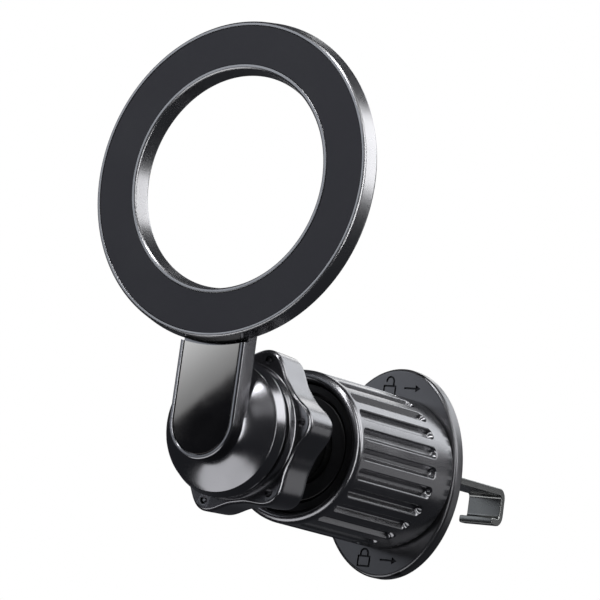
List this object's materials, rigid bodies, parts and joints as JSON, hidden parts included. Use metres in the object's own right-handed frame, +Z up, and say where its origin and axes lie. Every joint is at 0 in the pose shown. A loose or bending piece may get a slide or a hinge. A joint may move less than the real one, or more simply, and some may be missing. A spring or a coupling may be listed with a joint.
{
  "type": "car vent phone mount",
  "caption": "Phone mount with a magnetic ring on an arm, a clamped ball joint, a grooved tightening knob and a hook that grips an air vent blade.",
  "frame": {"origin": "on the knob's axis at the rear plane of the oval base plate, where the mount sits against the vent", "axes": "+Y along the knob's axis from the phone side to the vent side, +Z up, +X to the driver's right"},
  "size_m": [0.0612, 0.1127, 0.0972],
  "materials": {
    "gunmetal": "satin dark anodised",
    "knob_metal": "satin dark anodised",
    "nut_metal": "satin dark anodised",
    "ring_metal": "satin dark anodised with bright rims",
    "plate_grey": "satin",
    "black_plastic": "matt",
    "gloss_black": "high gloss",
    "soft_black": "soft matt",
    "steel": "bright",
    "hook_steel": "black coated",
    "nylon": "natural",
    "brass": "machined",
    "nickel": "nickel plated"
  },
  "bodies": {
    "base": {"base_plate": "plate_grey", "vent_pad_upper": "soft_black", "vent_pad_lower": "soft_black", "plate_screw_1": "steel", "plate_screw_2": "steel", "plate_screw_3": "steel", "plate_screw_4": "steel", "strap_guide": "black_plastic", "core_tube": "steel", "thrust_washer": "nylon", "front_collar": "black_plastic", "ball_stud": "steel"},
    "knob": {"knob_barrel": "knob_metal", "knob_bezel": "black_plastic", "lead_sleeve": "black_plastic"},
    "hook": {"drive_ring": "brass", "cross_pin": "steel", "hook_carrier": "steel", "hook_screw": "steel", "hook_strap": "hook_steel"},
    "shoe": {"pole_shoe": "nylon"},
    "liner": {"ball_liner": "nylon"},
    "head": {"arm_socket": "gunmetal", "gloss_plate": "gloss_black", "arm_screw_1": "steel", "arm_screw_2": "steel", "ring_frame": "ring_metal", "ring_face": "black_plastic", "ring_yoke": "steel", "magnet_01": "nickel", "magnet_02": "nickel", "magnet_03": "nickel", "magnet_04": "nickel", "magnet_05": "nickel", "magnet_06": "nickel", "magnet_07": "nickel", "magnet_08": "nickel", "magnet_09": "nickel", "magnet_10": "nickel", "magnet_11": "nickel", "magnet_12": "nickel"},
    "nut": {"clamp_nut": "nut_metal", "nut_pin_1": "steel", "nut_pin_2": "steel", "nut_pin_3": "steel", "nut_pin_4": "steel", "nut_pin_5": "steel", "nut_pin_6": "steel"},
    "pressure": {"pressure_ring": "nylon"}
  },
  "joints": [
    {"name": "knob_turn", "type": "hinge", "parent": "base", "child": "knob", "pos_m": [0, 0, 0], "axis": [0, -1, 0], "range_deg": [0, 1080]},
    {"name": "hook_slide", "type": "slide", "parent": "base", "child": "hook", "axis": [0, -1, 0], "range_m": [0, 0.012]},
    {"name": "ball_tilt", "type": "hinge", "parent": "base", "child": "shoe", "pos_m": [0, -0.0556, 0], "axis": [1, 0, 0], "range_deg": [-20, 20]},
    {"name": "ball_pan", "type": "hinge", "parent": "shoe", "child": "liner", "pos_m": [0, -0.0556, 0], "axis": [0, 0, 1], "range_deg": [-20, 20]},
    {"name": "ball_spin", "type": "hinge", "parent": "liner", "child": "head", "pos_m": [0, -0.0556, 0], "axis": [0, 1, 0], "continuous": true},
    {"name": "nut_turn", "type": "hinge", "parent": "head", "child": "nut", "pos_m": [0, -0.0556, 0], "axis": [0, 1, 0], "range_deg": [0, 120]},
    {"name": "clamp_slide", "type": "slide", "parent": "head", "child": "pressure", "axis": [0, 1, 0], "range_m": [0, 0.0003]}
  ],
  "couplings": [
    {"joint": "hook_slide", "follows": "knob_turn", "m_per_rad": 0.0006366},
    {"joint": "clamp_slide", "follows": "nut_turn", "m_per_rad": 0.0001432}
  ]
}
